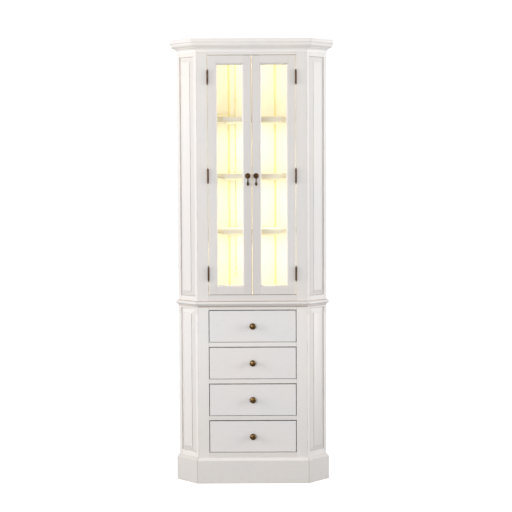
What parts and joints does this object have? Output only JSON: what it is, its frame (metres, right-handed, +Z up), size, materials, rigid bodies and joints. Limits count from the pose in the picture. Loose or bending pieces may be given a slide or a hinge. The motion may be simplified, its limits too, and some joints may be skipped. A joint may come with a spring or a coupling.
{
  "type": "corner curio cabinet",
  "caption": "Tall corner curio cabinet with canted panelled sides, a lit glazed display case with two doors and shelves, and a base of plain drawers with knobs.",
  "frame": {"origin": "middle of the footprint on the floor, under the middle of the bounding box", "axes": "+Z up, front with doors and drawers towards -Y, flat back towards +Y, +X to the right as seen from the front"},
  "size_m": [0.7542, 0.366, 2.05],
  "materials": {
    "white_paint": "wood with satin off-white paint, rubbed through to brown at edges",
    "inner_paint": "wood with satin cream-white paint inside the display case",
    "back_paint": "wood board with thin off-white paint",
    "raw_wood": "bare sealed pine",
    "clear_glass": "clear 4 mm float glass",
    "aged_bronze": "dark antique bronze, rubbed to brass at high spots",
    "antique_brass": "antique brass with dark patina",
    "strike_steel": "zinc-plated steel",
    "catch_plastic": "dark brown moulded plastic with a magnet inside",
    "light_housing": "translucent plastic channel that glows faintly",
    "light_strip": "circuit strip with light-emitting diodes",
    "light_diffuser": "opal diffuser, lit warm white",
    "lead_plastic": "white flexible lead, its clips and the cable grommet",
    "driver_plastic": "off-white moulded case"
  },
  "bodies": {
    "case": {"plinth": "white_paint", "base_front_stiles": "white_paint", "base_front_rails": "white_paint", "base_side_frames": "white_paint", "base_side_panels": "white_paint", "base_back_panels": "back_paint", "base_floor": "raw_wood", "drawer_runners": "raw_wood", "drawer_stops": "raw_wood", "waist_board": "white_paint", "waist_moulding": "white_paint", "upper_front_stiles": "white_paint", "upper_front_rails": "white_paint", "upper_side_frames": "white_paint", "upper_side_panels": "white_paint", "upper_back_panels": "inner_paint", "upper_floor": "inner_paint", "top_board": "white_paint", "crown_moulding": "white_paint", "shelf_lower": "inner_paint", "shelf_middle": "inner_paint", "shelf_upper": "inner_paint", "shelf_cleats": "inner_paint", "light_housings": "light_housing", "light_strips": "light_strip", "light_diffusers": "light_diffuser", "light_lead": "lead_plastic", "lead_clips": "lead_plastic", "light_driver": "driver_plastic", "cable_grommet": "lead_plastic", "door_catches": "catch_plastic", "hinge_frame_leaves": "aged_bronze", "hinge_pins": "aged_bronze"},
    "left_door": {"left_door_frame": "white_paint", "left_door_beads": "white_paint", "left_door_glass": "clear_glass", "left_door_hinge_leaves": "aged_bronze", "left_door_strike": "strike_steel", "left_pull_rose": "aged_bronze"},
    "left_pull": {"left_pull_drop": "aged_bronze"},
    "right_door": {"right_door_frame": "white_paint", "right_door_beads": "white_paint", "right_door_glass": "clear_glass", "right_door_hinge_leaves": "aged_bronze", "right_door_strike": "strike_steel", "right_pull_rose": "aged_bronze"},
    "right_pull": {"right_pull_drop": "aged_bronze"},
    "drawer_1": {"drawer_1_front": "white_paint", "drawer_1_box": "raw_wood", "drawer_1_knob": "antique_brass"},
    "drawer_2": {"drawer_2_front": "white_paint", "drawer_2_box": "raw_wood", "drawer_2_knob": "antique_brass"},
    "drawer_3": {"drawer_3_front": "white_paint", "drawer_3_box": "raw_wood", "drawer_3_knob": "antique_brass"},
    "drawer_4": {"drawer_4_front": "white_paint", "drawer_4_box": "raw_wood", "drawer_4_knob": "antique_brass"}
  },
  "joints": [
    {"name": "left_door_hinge", "type": "hinge", "parent": "case", "child": "left_door", "pos_m": [-0.202, -0.1433, 1.428], "axis": [0, 0, -1], "range_deg": [0, 170]},
    {"name": "right_door_hinge", "type": "hinge", "parent": "case", "child": "right_door", "pos_m": [0.202, -0.1433, 1.428], "axis": [0, 0, 1], "range_deg": [0, 170]},
    {"name": "left_pull_swing", "type": "hinge", "parent": "left_door", "child": "left_pull", "pos_m": [-0.019, -0.15, 1.428], "axis": [-1, 0, 0], "range_deg": [0, 85]},
    {"name": "right_pull_swing", "type": "hinge", "parent": "right_door", "child": "right_pull", "pos_m": [0.019, -0.15, 1.428], "axis": [-1, 0, 0], "range_deg": [0, 85]},
    {"name": "drawer_1_slide", "type": "slide", "parent": "case", "child": "drawer_1", "axis": [0, -1, 0], "range_m": [0, 0.16]},
    {"name": "drawer_2_slide", "type": "slide", "parent": "case", "child": "drawer_2", "axis": [0, -1, 0], "range_m": [0, 0.16]},
    {"name": "drawer_3_slide", "type": "slide", "parent": "case", "child": "drawer_3", "axis": [0, -1, 0], "range_m": [0, 0.16]},
    {"name": "drawer_4_slide", "type": "slide", "parent": "case", "child": "drawer_4", "axis": [0, -1, 0], "range_m": [0, 0.16]}
  ]
}
